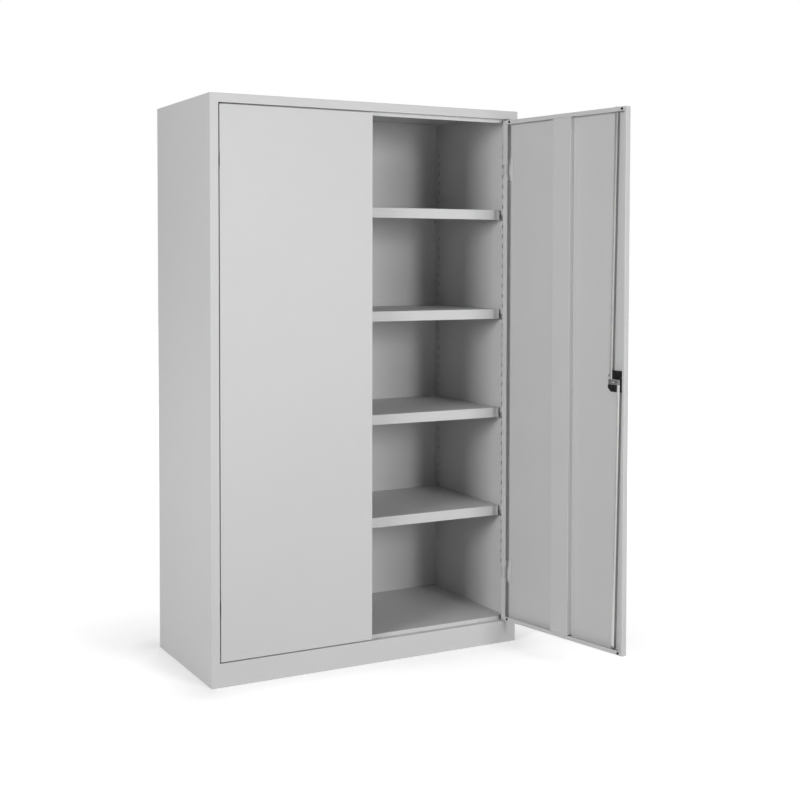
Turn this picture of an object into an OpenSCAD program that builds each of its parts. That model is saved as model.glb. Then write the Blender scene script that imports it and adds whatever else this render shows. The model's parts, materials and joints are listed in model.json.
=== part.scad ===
// Double-door tool cabinet of folded sheet steel: slotted inner walls, four hung shelves,
// crank hinges hidden inside the door pans, and a rod lock that shoots bolts up and down.
// The left door is shut and the right door stands open, as in everyday use.
// Frame: origin on the floor under the middle of the carcass, +X to the right door's side,
// +Y to the back, +Z up. Lengths in millimetres, angles in degrees.

/* [Carcass] */
// Width over the two outer side walls
cabinet_w = 1200; // [900:10:1400]
// Depth from the front face to the back
cabinet_d = 520; // [400:10:650]
// Height from the floor to the top
cabinet_h = 1950; // [1850:10:2100]
// Thickness of the folded steel sheet
sheet = 0.8; // [0.7:0.1:1.2]
// Radius inside each fold
bend_r = 0.8; // [0.5:0.1:1.2]
// Width of the front lip beside each door
side_lip_w = 30; // [26:1:40]
// Height of the rail over the doors
rail_h = 30; // [26:1:45]
// Height of the plinth under the doors
plinth_h = 80; // [60:2:110]
// Depth of the jamb that the side lip folds into
jamb_d = 31; // [29:1:36]
// Width of the fold behind the jamb
jamb_fold_w = 10; // [6:1:16]
// Width of the open groove between the jamb and the inner wall
groove_w = 7; // [4:1:12]
// Gap left between the inner wall's hidden flanges and the outer wall
wall_flange_gap = 12; // [6:1:18]
// How far the stop lips stand behind the front face
stop_setback = 24; // [24:0.5:28]
// How far the upper stop lip hangs below the rail
stop_drop = 12; // [8:1:18]
// How far the floor stands above the plinth
floor_rise = 13; // [8:1:20]
// Space between a stop lip's end and the jamb
stop_end_gap = 22; // [10:1:40]
// Width of the flanges that hold the back panel
back_flange_w = 20; // [12:1:30]
// Width of the brace that carries the middle of the floor
brace_w = 60; // [40:2:100]
// Width of each flange on top of the brace
brace_flange = 14; // [10:1:24]

/* [Doors] */
// Gap between a door and the side lip
door_gap = 4; // [3.5:0.5:6]
// Gap between a door and the rail
door_gap_top = 5; // [3:0.5:8]
// Gap between a door and the plinth
door_gap_bottom = 4; // [3:0.5:8]
// Gap between the two doors
door_split = 3; // [2:0.5:5]
// Depth of a door pan from its skin to its inner lips
door_d = 22; // [21:0.5:23]
// Width of the inner lip on the hinge side
hinge_lip_w = 22; // [18:1:30]
// Width of the inner lips along the top and the bottom
cross_lip_w = 15; // [12:1:20]
// Width of the inner lip on the closing side
closing_lip_w = 9; // [7:1:12]
// Width of the open mitre seams in the corners of the inner lips
mitre_gap = 0.8; // [0.4:0.1:1.2]
// Angle at which the right door stands open
open_angle = 101; // [0:1:109]
// Width of the hat-shaped stiffener in each door
stiffener_w = 80; // [50:2:120]
// Width of each flange that the stiffener is welded by
stiffener_flange = 12; // [8:1:20]
// Overlap of the strike strip behind the right door's edge
strike_overlap = 6; // [4:0.5:7]
// Width of the strike strip's half on the left door
strike_w = 8; // [6:0.5:9]
// Running gap between the strike strip and the right door
strike_gap = 0.8; // [0.5:0.1:1]
// Diameter of a rubber buffer
buffer_d = 9; // [6:0.5:11]
// Height of a rubber buffer above its lip
buffer_h = 1.6; // [1:0.1:1.8]
// Distance of a buffer's centre from the inner edge of the side lip
buffer_inset = 9; // [6:1:40]

/* [Hinges] */
// Distance of the pin from the door's hinge edge
pin_inset = 6; // [5.5:0.25:8]
// Distance of the pin behind the front face
pin_setback = 5; // [5:0.1:6]
// Diameter of the hinge pin
pin_d = 4.5; // [3.5:0.25:5]
// Outer diameter of the door's knuckles
knuckle_d = 8; // [7:0.25:9]
// Height of each of the door's two knuckles
knuckle_h = 19.5; // [12:0.5:30]
// Height of the crank arm on the frame
arm_h = 42; // [30:2:50]
// Thickness of the crank arm
arm_t = 2.5; // [2:0.25:2.5]
// Distance of a hinge's middle from the door's end
hinge_from_end = 178; // [100:1:300]
// Width of the hinge leaf inside the door
leaf_w = 28; // [18:1:40]
// Thickness of the hinge leaf inside the door
leaf_t = 2; // [1.5:0.25:2.5]
// Space between the shut door and the crank behind it
arm_clear = 1.75; // [1.5:0.25:3]
// How far the arm's foot reaches onto the inner wall
foot_grip = 4; // [3:0.5:8]
// Height of the hinge pin's head
pin_head_h = 1.5; // [1:0.25:2]
// Clearance between moving hinge pieces
hinge_clear = 0.3; // [0.2:0.05:0.4]
// Depth of the window in the inner lip over the knuckle
window_w = 6; // [3:0.5:8]

/* [Shelves] */
// Height of the top shelf's surface above the floor
shelf_top_z = 1593; // [1560:0.5:1620]
// Number of slots from one shelf to the next
shelf_step = 10; // [8:1:10]
// Number of slots above the top shelf's clips
slots_over_shelf = 7; // [5:1:8]
// Height of a shelf's front lip
shelf_lip_h = 36; // [28:1:42]
// Width of the fold along the bottom of the front lip
shelf_hem = 12; // [8:1:20]
// Distance of the shelves' front behind the cabinet's front
shelf_setback = 56; // [52:1:60]
// Gap between a shelf's end and the inner wall
shelf_gap = 8; // [5:0.5:9]
// Gap between the shelves and the back
shelf_back_gap = 4; // [2:1:12]
// Distance between neighbouring slots in a column
slot_pitch = 36.5; // [34:0.5:38]
// Number of slots in a column
slot_count = 43; // [36:1:43]
// Height of a slot
slot_h = 14; // [10:1:18]
// Width of a slot
slot_w = 5; // [3:0.5:6]
// Distance of the front slots behind the front face
front_slots_y = 49; // [46:1:52]
// Distance of the rear slots in front of the back panel
rear_slots_y = 24; // [22:1:40]
// Thickness of a shelf clip's steel
clip_t = 1.5; // [1:0.25:2]
// Length of a clip along the wall
clip_len = 20; // [16:1:26]
// Width of the ledge that a shelf rests on
clip_ledge_w = 14; // [11:1:18]
// Height of a slot's middle above the clip's ledge
clip_hook_rise = 12; // [11:0.5:14]

/* [Lock] */
// Distance of the lock's spindle from the door's closing edge
lock_inset = 48; // [47:0.5:54]
// Height of the lock's spindle above the floor
lock_z = 1000; // [900:1:1100]
// Distance of the rod pins from the spindle
cam_r = 16.5; // [15:0.5:17]
// Distance from the spindle to the cam plate's ends
cam_reach = 24.5; // [22:0.5:26]
// Height of the cam plate
cam_h = 16; // [14:1:20]
// Thickness of the cam plate
cam_t = 2; // [1.5:0.25:2.5]
// Diameter of the pins that drive the rods
cam_pin_d = 4; // [3:0.5:4.5]
// Width of the flat lock rods
rod_w = 11; // [9:0.5:13]
// Thickness of the flat lock rods
rod_t = 2.5; // [2:0.25:3]
// Distance of the rods' front behind the door's outer face
rod_setback = 11; // [11:0.25:11.5]
// Length of a rod's end past the door's edge when it is drawn back
rod_rest = 2; // [1:0.25:2]
// Height of the yoke's opening around a cam pin
yoke_open = 11.6; // [11.6:0.2:12.4]
// Width of the yoke's prongs
yoke_prong = 3; // [2.5:0.25:3.5]
// Diameter of the lock's spindle
spindle_d = 8; // [6:0.5:8]
// Width of the lock case
case_w = 66; // [60:1:70]
// Height of the lock case
case_h = 71; // [66:1:90]
// How far the lock case reaches below the spindle
case_drop = 33; // [30:1:42]
// Diameter of the lug on the case's hinge side
lug_d = 13; // [8:0.5:14]
// Height of the lug's middle above the spindle
lug_rise = 21; // [16:1:26]
// Gap between the lock case and the closing-side lip
case_gap = 1; // [0.5:0.25:2]
// Diameter of the rosette under the knob
rosette_d = 54; // [46:1:60]
// Thickness of the rosette
rosette_t = 5; // [3:0.5:8]
// Length of the knob's wing
knob_len = 80; // [60:2:92]
// Width of the knob's wing
knob_w = 24; // [22:1:30]
// Height of the knob over the rosette
knob_h = 21; // [18:1:26]
// Diameter of the knob's hub
hub_d = 38; // [32:1:44]
// Diameter of the lock's key plug
plug_d = 16; // [12:0.5:18]
// Distance of the case's screws from its edge
screw_edge = 6; // [5:0.5:8]
// Distance between the two screws
screw_spread = 32; // [24:1:44]
// Diameter of the screws
screw_d = 3; // [2.5:0.5:4]
// Length of the chamfer at the case's lower corner
case_chamfer = 12; // [3:0.5:14]
// Width of the keyway
keyway_w = 1.6; // [1.2:0.1:2.4]
// Depth of the keyway
keyway_depth = 6; // [3:0.5:9]
// Clearance between moving lock pieces
lock_clear = 0.4; // [0.3:0.05:0.5]
// How much wider a bore is than the shaft that turns in it
running_gap = 0.2; // [0.1:0.02:0.2]

/* [Hidden] */

// Colours of the finishes
paint = [0.80, 0.81, 0.80];
zinc = [0.72, 0.73, 0.74];
black = [0.07, 0.07, 0.08];
chrome = [0.85, 0.85, 0.86];

// A cut reaches this far past the faces that it opens
cut = 1;

// Places along Y: the front face, the back panel's face and the fold lines between them
front = -cabinet_d / 2;
back_face = cabinet_d / 2 - 2 * sheet;
wall_front = front + jamb_d + groove_w;

// Radius outside a fold, and the number of flats that a fold is drawn with
bend_out = bend_r + sheet;
bend_steps = 4;

// Places along X on the right half: the inner faces of the jamb and the outer wall, and the
// ends of the rail's and the plinth's face, which meet the sides past their folded corners
jamb_x = cabinet_w / 2 - side_lip_w;
outer_x = cabinet_w / 2 - sheet;
face_half = cabinet_w / 2 - 2 * bend_out;
stop_half = jamb_x - stop_end_gap;

// Places along Z: underside of the top, rail, floor and doors
roof_z = cabinet_h - sheet;
rail_z = cabinet_h - rail_h;
floor_z = plinth_h + floor_rise;

// The right door, shut
door_x0 = door_split / 2;
door_x1 = jamb_x - door_gap;
door_z0 = plinth_h + door_gap_bottom;
door_z1 = rail_z - door_gap_top;
lip_y = front + door_d;

// The hinge axis of the right door
axis_x = door_x1 - pin_inset;
axis_y = front + pin_setback;
hinge_upper_z = door_z1 - hinge_from_end;
hinge_lower_z = door_z0 + hinge_from_end;
hinge_h = arm_h + 2 * (knuckle_h + hinge_clear);
bore_d = pin_d + running_gap;
arm_knuckle_d = knuckle_d - 2 * hinge_clear;
arm_back = lip_y + arm_clear;

// The lock, with the right door shut
lock_x = door_x0 + lock_inset;
rod_y = front + rod_setback;
cam_y = rod_y + rod_t + 2 * lock_clear;
case_x0 = door_x0 + closing_lip_w + case_gap;
case_z0 = lock_z - case_drop;
case_base = rod_setback - lock_clear;   // depth of the case floor behind the outer face
case_rise = rod_setback + rod_t + lock_clear;   // depth of its raised parts
rod_up_end = door_z1 + rod_rest;
rod_down_end = door_z0 - rod_rest;
rod_tilt_up = atan(cam_r / (rod_up_end - lock_z));
rod_tilt_down = atan(cam_r / (lock_z - rod_down_end));
yoke_h = yoke_open + 2 * yoke_prong;
yoke_reach = cam_r + rod_w / 2;
rod_slot_w = rod_w + 3;
rod_slot_t = rod_t + 3;

// ---------------------------------------------------------------- helpers

// A block between two opposite corners
module block(a, b) {
    translate(a) cube(b - a);
}

// A flat outline drawn in plan and raised between two heights
module raised(z0, z1) {
    translate([0, 0, z0]) linear_extrude(z1 - z0) children();
}

// A cylinder along Y from one depth to another
module rod_y_axis(x, z, y0, y1, d) {
    translate([x, y0, z]) rotate([-90, 0, 0]) cylinder(h = y1 - y0, d = d, $fn = 48);
}

// An outline drawn in depth and height, run across between two places
module across(x0, x1) {
    translate([x0, 0, 0]) rotate([90, 0, 90]) linear_extrude(x1 - x0) children();
}

// An outline drawn in width and height, run backwards between two places
module backwards(y0, y1) {
    translate([0, y1, 0]) rotate([90, 0, 0]) linear_extrude(y1 - y0) children();
}

// Direction from one point to the next, and a direction turned to the left by an angle
function along(a, b) = (b - a) / norm(b - a);
function turned(v, w) = [v[0] * cos(w) - v[1] * sin(w), v[0] * sin(w) + v[1] * cos(w)];

// Arc where a sheet folds at p, for the face that lies d inside the path; the sheet is on the
// path's left, so a left turn has the path on its outer radius and a right turn on its inner
function fold_arc(a, p, b, d) =
    let (
        u = along(a, p),
        turn = atan2(cross(u, along(p, b)), u * along(p, b)),
        way = sign(turn),
        r = way > 0 ? bend_out : bend_r,
        centre = p - u * r * tan(abs(turn) / 2) + way * r * turned(u, 90)
    )
    [for (i = [0 : bend_steps]) centre - (way * r - d) * turned(u, 90 + turn * i / bend_steps)];

// The face of a folded sheet that lies d inside the path along its outer face
function sheet_face(path, d) =
    let (last = len(path) - 1)
    concat(
        [path[0] + d * turned(along(path[0], path[1]), 90)],
        [for (i = [1 : last - 1]) each fold_arc(path[i - 1], path[i], path[i + 1], d)],
        [path[last] + d * turned(along(path[last - 1], path[last]), 90)]
    );

// Outline of a folded sheet with the path on its outer face and the metal on the path's left
module folded(path) {
    inner = sheet_face(path, sheet);
    polygon(concat(sheet_face(path, 0), [for (i = [len(inner) - 1 : -1 : 0]) inner[i]]));
}

// A rectangle between two opposite corners, with its corners rounded to a fold's radius
module folded_rectangle(a, b, r) {
    middles = [[b[0] - r, b[1] - r], [a[0] + r, b[1] - r], [a[0] + r, a[1] + r], [b[0] - r, a[1] + r]];
    polygon([
        for (corner = [0 : 3])
            for (i = [0 : bend_steps])
                middles[corner] + r * turned([1, 0], 90 * (corner + i / bend_steps))
    ]);
}

// Children of the right half, mirrored onto the left half
module on_left() {
    mirror([1, 0, 0]) children();
}

// Children of the right half, and their mirror images on the left half
module on_both_sides() {
    children();
    on_left() children();
}

// Children modelled on the shut right door, swung to where the door stands
module on_open_door() {
    translate([axis_x, axis_y, 0]) rotate([0, 0, open_angle])
        translate([-axis_x, -axis_y, 0]) children();
}

// ---------------------------------------------------------------- carcass

// Outer wall with its front lip, jamb, jamb fold and back flange; right-hand side
module side() {
    corner = [cabinet_w / 2, front];
    back_corner = [cabinet_w / 2, cabinet_d / 2];
    flange_end = back_corner - [back_flange_w, 0];
    jamb_back = [jamb_x, front + jamb_d];
    color(paint) {
        raised(roof_z, cabinet_h) folded([[face_half, front], corner, back_corner]);
        raised(0, roof_z) folded([[face_half, front], corner, back_corner, flange_end]);
        raised(plinth_h, rail_z) folded([
            jamb_back + [jamb_fold_w, 0], jamb_back, [jamb_x, front],
            corner, back_corner, flange_end
        ]);
    }
}

// Slots of one column, cut through the inner wall
module slot_column(y) {
    for (i = [0 : slot_count - 1])
        translate([jamb_x - cut, y - slot_w / 2, slot_z(i) - slot_h / 2])
            cube([sheet + 2 * cut, slot_w, slot_h]);
}

// Height of a slot's middle, counted from the top
function slot_z(i) = shelf_top_z - shelf_lip_h + clip_hook_rise + (slots_over_shelf - i) * slot_pitch;

// Height of a shelf's surface, counted from the top
function shelf_z(i) = shelf_top_z - (i - 1) * shelf_step * slot_pitch;

// Slotted inner wall with hidden front and back flanges; right-hand side
module inner_wall() {
    flange_end_x = outer_x - wall_flange_gap;
    color(paint) difference() {
        raised(floor_z, roof_z) folded([
            [flange_end_x, back_face], [jamb_x, back_face],
            [jamb_x, wall_front], [flange_end_x, wall_front]
        ]);
        slot_column(front + front_slots_y);
        slot_column(back_face - rear_slots_y);
    }
}

// Flat back between the folds of the sides' back flanges and the top's
module back_panel() {
    half = cabinet_w / 2 - bend_out;
    color(paint) block([-half, back_face, 0], [half, back_face + sheet, roof_z - bend_r]);
}

// Flat top with a flange that folds down behind the back panel
module top_panel() {
    flange_half = cabinet_w / 2 - back_flange_w;
    y0 = front + 2 * bend_out;
    y1 = cabinet_d / 2;
    color(paint) {
        across(-flange_half, flange_half)
            folded([[y1, roof_z - back_flange_w], [y1, cabinet_h], [y0, cabinet_h]]);
        block([-outer_x, y0, roof_z], [outer_x, y1 - bend_out, cabinet_h]);
        on_both_sides() {
            block([flange_half, y0, roof_z], [outer_x, y1, cabinet_h]);
            block([face_half, front + bend_out, roof_z], [outer_x, y0, cabinet_h]);
        }
    }
}

// Hole in a cross member that a lock rod shoots into
module rod_catch(z) {
    translate([lock_x - rod_slot_w / 2, rod_y - (rod_slot_t - rod_t) / 2, z - cut])
        cube([rod_slot_w, rod_slot_t, sheet + 2 * cut]);
}

// Front rail over the doors, with its soffit and the upper stop lip
module top_rail() {
    face = [[front + 2 * bend_out, cabinet_h], [front, cabinet_h], [front, rail_z]];
    stop_y = front + stop_setback;
    soffit = [stop_y, rail_z];
    color(paint) difference() {
        union() {
            across(-stop_half, stop_half)
                folded(concat(face, [soffit, [stop_y, rail_z - stop_drop]]));
            on_both_sides() {
                across(stop_half, jamb_x) folded(concat(face, [soffit]));
                across(jamb_x, face_half) folded(face);
                block([jamb_x, front + bend_out, rail_z], [outer_x, stop_y, rail_z + sheet]);
            }
        }
        rod_catch(rail_z);
    }
}

// Floor with its front lip, which is the lower door stop
module floor_panel() {
    stop_y = front + stop_setback;
    color(paint) {
        block([-outer_x, front + jamb_d, floor_z - sheet], [outer_x, back_face, floor_z]);
        across(-stop_half, stop_half)
            folded([[back_face, floor_z], [stop_y, floor_z], [stop_y, plinth_h]]);
    }
}

// Channel on the floor under the middle of the cabinet; it carries the floor panel
module floor_brace() {
    half = brace_w / 2;
    reach = half + brace_flange;
    ledge_z = floor_z - 2 * sheet;
    color(paint) backwards(front + stop_setback + sheet, back_face)
        folded([
            [-reach, ledge_z], [-half, ledge_z], [-half, 0],
            [half, 0], [half, ledge_z], [reach, ledge_z]
        ]);
}

// Plinth face folded in at the top, under the doors, and at the bottom, on the floor
module plinth_front() {
    ledge_y = front + stop_setback + sheet;
    color(paint) difference() {
        union() {
            across(-jamb_x, jamb_x)
                folded([[ledge_y, plinth_h], [front, plinth_h], [front, 0], [ledge_y, 0]]);
            on_both_sides() {
                across(jamb_x, face_half) folded([[front, plinth_h], [front, 0], [ledge_y, 0]]);
                block([jamb_x, front + bend_out, plinth_h - sheet], [outer_x, ledge_y, plinth_h]);
            }
        }
        rod_catch(plinth_h - sheet);
    }
}

// ---------------------------------------------------------------- shelves

// Folded tray, open underneath, with a hem along the bottom of its front lip and a small
// relief in each corner, where the folds meet
module shelf(i) {
    half = jamb_x - shelf_gap;
    y0 = front + shelf_setback;
    y1 = back_face - shelf_back_gap;
    z1 = shelf_z(i);
    z0 = z1 - shelf_lip_h;
    color(paint) {
        across(bend_out - half, half - bend_out)
            folded([[y1, z0], [y1, z1], [y0, z1], [y0, z0], [y0 + shelf_hem, z0]]);
        backwards(y0 + bend_out, y1 - bend_out)
            folded([[half, z0], [half, z1], [-half, z1], [-half, z0]]);
    }
}

// One clip on the right wall: a plate with a ledge, and a hook through the slot
module clip(y, ledge_z) {
    hook_z = ledge_z + clip_hook_rise;
    hook_w = slot_w - 1;
    hook_h = slot_h - 5;
    front_reach = 4;
    skirt = 5;
    translate([jamb_x, y, 0]) {
        block([-clip_t, -front_reach, ledge_z - skirt],
              [0, clip_len - front_reach, hook_z + slot_h / 2]);
        block([-clip_ledge_w, -front_reach, ledge_z - clip_t],
              [0, clip_len - front_reach, ledge_z]);
        block([-clip_t, -hook_w / 2, hook_z - hook_h / 2],
              [sheet + clip_t, hook_w / 2, hook_z + hook_h / 2]);
        block([sheet, -hook_w / 2, hook_z - slot_h / 2 - 2],
              [sheet + clip_t, hook_w / 2, hook_z + hook_h / 2]);
    }
}

module clips_right() {
    for (i = [1 : 4])
        for (y = [front + front_slots_y, back_face - rear_slots_y])
            clip(y, shelf_z(i) - shelf_lip_h);
}

module shelf_clips() {
    color(zinc) {
        clips_right();
        on_left() clips_right();
    }
}

// ---------------------------------------------------------------- hinges

// Crank arm on the right jamb: knuckle, straight crank behind the shut door, welded foot
module hinge_arm(z) {
    foot_end = wall_front + foot_grip - axis_y;
    back = arm_back - axis_y;
    reach = jamb_x - axis_x;
    color(paint) translate([axis_x, axis_y, z - arm_h / 2]) difference() {
        union() {
            cylinder(h = arm_h, d = arm_knuckle_d, $fn = 48);
            raised(0, arm_h) {
                translate([-arm_t / 2, 0]) square([arm_t, back + arm_t]);
                translate([-arm_t / 2, back]) square([reach + arm_t / 2, arm_t]);
                translate([reach - arm_t, back]) square([arm_t, foot_end - back]);
            }
        }
        translate([0, 0, -cut]) cylinder(h = arm_h + 2 * cut, d = bore_d, $fn = 48);
    }
}

// Leaf welded to the right door's skin, with a knuckle above and below the arm's
module hinge_leaf(z) {
    skin = front + sheet - axis_y;
    color(paint) translate([axis_x, axis_y, z]) difference() {
        union() {
            block([-leaf_w, skin, -hinge_h / 2],
                  [-knuckle_d / 2 - hinge_clear, skin + leaf_t, hinge_h / 2]);
            for (s = [-1, 1]) {
                z0 = s > 0 ? hinge_h / 2 - knuckle_h : -hinge_h / 2;
                translate([0, 0, z0]) {
                    cylinder(h = knuckle_h, d = knuckle_d, $fn = 48);
                    translate([-leaf_w, skin, 0]) cube([leaf_w, leaf_t, knuckle_h]);
                }
            }
        }
        translate([0, 0, -hinge_h]) cylinder(h = 2 * hinge_h, d = bore_d, $fn = 48);
    }
}

// The two pins of the right door, each with a flat head on top
module hinge_pins() {
    color(zinc) for (z = [hinge_lower_z, hinge_upper_z])
        translate([axis_x, axis_y, z]) {
            translate([0, 0, -hinge_h / 2]) cylinder(h = hinge_h, d = pin_d, $fn = 48);
            translate([0, 0, hinge_h / 2]) cylinder(h = pin_head_h, d = knuckle_d - 1, $fn = 48);
        }
}

// ---------------------------------------------------------------- doors

// Seam between two inner lips, from a pan's outer corner to the lips' inner corner
module mitre(x, z, dx, dz) {
    angle = atan2(dz, dx);
    translate([x, lip_y - sheet - cut / 2, z]) rotate([0, -angle, 0])
        translate([2 * bend_out, 0, -mitre_gap / 2])
            cube([norm([dx, dz]), sheet + cut, mitre_gap]);
}

// Openings in the pan's hinge edge that the crank arm swings through
module arm_opening(z) {
    clear = 1;
    half = arm_h / 2 + clear;
    block([axis_x - arm_t / 2 - clear, lip_y - sheet - cut, z - half],
          [door_x1 + cut, lip_y + cut, z + half]);
    block([door_x1 - sheet - cut, front + sheet, z - half],
          [door_x1 + cut, lip_y + cut, z + half]);
    block([door_x1 - hinge_lip_w - cut, lip_y - sheet - cut, z - arm_h / 2],
          [door_x1 - hinge_lip_w + window_w, lip_y + cut, z + arm_h / 2]);
}

// Body of the right door's pan, shut, set in from its outer faces, with folds of a radius
module pan_body(inset, r) {
    a = [door_x0 + inset, front + inset, door_z0 + inset];
    b = [door_x1 - inset, lip_y - inset, door_z1 - inset];
    intersection() {
        raised(a[2], b[2]) folded_rectangle([a[0], a[1]], [b[0], b[1]], r);
        across(a[0], b[0]) folded_rectangle([a[1], a[2]], [b[1], b[2]], r);
    }
}

// Folded pan of the right door, shut: skin, four edges and four mitred inner lips
module door_pan() {
    difference() {
        pan_body(0, bend_out);
        pan_body(sheet, bend_r);
        block([door_x0 + closing_lip_w, lip_y - sheet - cut, door_z0 + cross_lip_w],
              [door_x1 - hinge_lip_w, lip_y + cut, door_z1 - cross_lip_w]);
        mitre(door_x1, door_z1, -hinge_lip_w, -cross_lip_w);
        mitre(door_x1, door_z0, -hinge_lip_w, cross_lip_w);
        mitre(door_x0, door_z1, closing_lip_w, -cross_lip_w);
        mitre(door_x0, door_z0, closing_lip_w, cross_lip_w);
        arm_opening(hinge_upper_z);
        arm_opening(hinge_lower_z);
    }
}

// Hat-section stiffener up the middle of the right door, flush with the inner lips
module stiffener() {
    mid = (door_x0 + door_x1) / 2;
    w = stiffener_w / 2;
    f = w + stiffener_flange;
    flange_y = front + 2 * sheet;
    color(paint) raised(door_z0 + cross_lip_w + sheet / 2, door_z1 - cross_lip_w - sheet / 2)
        folded([
            [mid + f, flange_y], [mid + w, flange_y], [mid + w, lip_y],
            [mid - w, lip_y], [mid - w, flange_y], [mid - f, flange_y]
        ]);
}

// Rubber buffers at the four inner corners of the right door
module buffers() {
    color(black)
        for (x = [door_x0 + closing_lip_w + buffer_inset, door_x1 - hinge_lip_w - buffer_inset])
            for (z = [door_z0 + cross_lip_w / 2, door_z1 - cross_lip_w / 2])
                rod_y_axis(x, z, lip_y, lip_y + buffer_h, buffer_d);
}

module door_pan_left() {
    on_left() color(paint) door_pan();
}

module door_pan_right() {
    color(paint) difference() {
        door_pan();
        for (z = [door_z0, door_z1 - sheet])
            translate([lock_x - rod_slot_w / 2, rod_y - (rod_slot_t - rod_t) / 2, z - cut])
                cube([rod_slot_w, rod_slot_t, sheet + 2 * cut]);
        rod_y_axis(lock_x, lock_z, front - cut, front + sheet + cut, spindle_d + 4);
    }
}

// Strip welded to the left door's closing lip; it steps back behind the right door
module strike_strip() {
    end = door_x0 + strike_overlap;
    color(paint) raised(door_z0 + cross_lip_w + buffer_d, door_z1 - cross_lip_w - buffer_d)
        polygon([
            [-door_x0 - strike_w, lip_y], [-door_x0, lip_y],
            [-door_x0, lip_y + strike_gap], [end, lip_y + strike_gap],
            [end, lip_y + strike_gap + sheet], [-door_x0 - sheet, lip_y + strike_gap + sheet],
            [-door_x0 - sheet, lip_y + sheet], [-door_x0 - strike_w, lip_y + sheet]
        ]);
}

// ---------------------------------------------------------------- lock

// Straps just inside the pan's top and bottom edges that the rods slide in
module rod_guides() {
    w = rod_w / 2 + 1;
    strap = 2;
    h = 12;
    y0 = front + sheet;
    y1 = rod_y + rod_t + lock_clear;
    color(zinc) for (z = [door_z0 + sheet, door_z1 - sheet - h])
        translate([lock_x, 0, 0]) {
            for (s = [-1, 1])
                block([s > 0 ? w : -w - strap, y0, z], [s > 0 ? w + strap : -w, y1 + strap, z + h]);
            block([-w, y1, z], [w, y1 + strap, z + h]);
            block([-w, y0, z], [w, rod_y - lock_clear, z + h]);
        }
}

// Case of the lock: a base under the rods, with raised parts clear of the rods' travel
module lock_case() {
    x1 = case_x0 + case_w;
    z1 = case_z0 + case_h;
    low = front + case_base;
    high = front + case_rise;
    clear_up = lock_z + cam_r + yoke_h / 2 + lock_clear + 1;
    clear_down = lock_z - cam_r - yoke_h / 2 - lock_clear - 1;
    side = yoke_reach + lock_clear + 1;
    color(black) difference() {
        union() {
            block([case_x0, front + sheet, case_z0], [x1, low, lock_z + cam_h / 2]);
            block([case_x0, front + sheet, lock_z], [lock_x + cam_r, low, z1]);
            block([lock_x, front + sheet, lock_z + lug_rise - lug_d / 2],
                  [x1 - lug_d / 2, low, lock_z + lug_rise + lug_d / 2]);
            rod_y_axis(x1 - lug_d / 2, lock_z + lug_rise, front + sheet, low, lug_d);
            block([case_x0, low, case_z0], [lock_x - side, high, z1]);
            block([lock_x - side, low, clear_up],
                  [lock_x + cam_r - rod_w / 2 - 2, high, z1]);
            block([lock_x - cam_r + rod_w / 2 + 2, low, case_z0], [x1, high, clear_down]);
            block([lock_x + 7, low, clear_down], [x1, high, lock_z - yoke_h / 2 - 1]);
        }
        translate([x1, 0, case_z0]) rotate([0, 45, 0])
            cube([sqrt(2) * case_chamfer, 4 * cabinet_d, sqrt(2) * case_chamfer], center = true);
        rod_y_axis(lock_x, lock_z, front, high + cut, spindle_d + running_gap);
        for (p = screw_places())
            rod_y_axis(p[0], p[1], front, high + cut, screw_d + lock_clear);
    }
}

// Places of the screws that draw the case and the rosette together
function screw_places() = [
    [case_x0 + screw_edge, lock_z + screw_spread / 2],
    [case_x0 + screw_edge, lock_z - screw_spread / 2]
];

module lock_screws() {
    color(black) for (p = screw_places()) {
        rod_y_axis(p[0], p[1], front + sheet, front + case_rise, screw_d);
        rod_y_axis(p[0], p[1], front + case_rise, front + case_rise + screw_d / 2, 2 * screw_d);
    }
}

// Round plate on the door's outer face
module rosette() {
    color(black) difference() {
        union() {
            rod_y_axis(lock_x, lock_z, front - rosette_t + 2, front, rosette_d);
            translate([lock_x, front - rosette_t + 2, lock_z]) rotate([90, 0, 0])
                rotate_extrude($fn = 96)
                    polygon([[0, 0], [rosette_d / 2, 0], [rosette_d / 2 - 2, 2], [0, 2]]);
        }
        rod_y_axis(lock_x, lock_z, front - rosette_t - cut, front + cut, spindle_d + running_gap);
    }
}

// Turning knob with a bore for the key plug; its wing stands upright while the rods are drawn
module turn_knob() {
    y1 = front - rosette_t - lock_clear;
    y0 = y1 - knob_h;
    color(black) difference() {
        union() {
            rod_y_axis(lock_x, lock_z, y1 - knob_h * 0.4, y1, hub_d);
            translate([lock_x, y1 - knob_h * 0.3, lock_z]) rotate([90, 0, 0])
                linear_extrude(knob_h * 0.7) rotate(90) wing();
        }
        rod_y_axis(lock_x, lock_z, y0 - cut, y0 + knob_h * 0.55, plug_d + running_gap);
        rod_y_axis(lock_x, lock_z, y1 - knob_h * 0.3, y1 + cut, spindle_d);
    }
}

// Outline of the knob's wing: a bar with round ends and a swollen middle
module wing() {
    r = knob_w / 2;
    circle(r = r + 2, $fn = 64);
    for (s = [-1, 1])
        translate([s * (knob_len / 2 - r * 0.8), 0]) circle(r = r * 0.8, $fn = 64);
    polygon([
        [-knob_len / 2 + r * 0.8, -r * 0.8], [knob_len / 2 - r * 0.8, -r * 0.8],
        [knob_len / 2 - r * 0.8, r * 0.8], [-knob_len / 2 + r * 0.8, r * 0.8]
    ]);
}

module spindle() {
    color(zinc) {
        rod_y_axis(lock_x, lock_z, front - rosette_t - lock_clear - knob_h * 0.3, cam_y, spindle_d);
        rod_y_axis(lock_x, lock_z, cam_y, cam_y + cam_t + 2.6, spindle_d - 3);
    }
}

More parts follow.
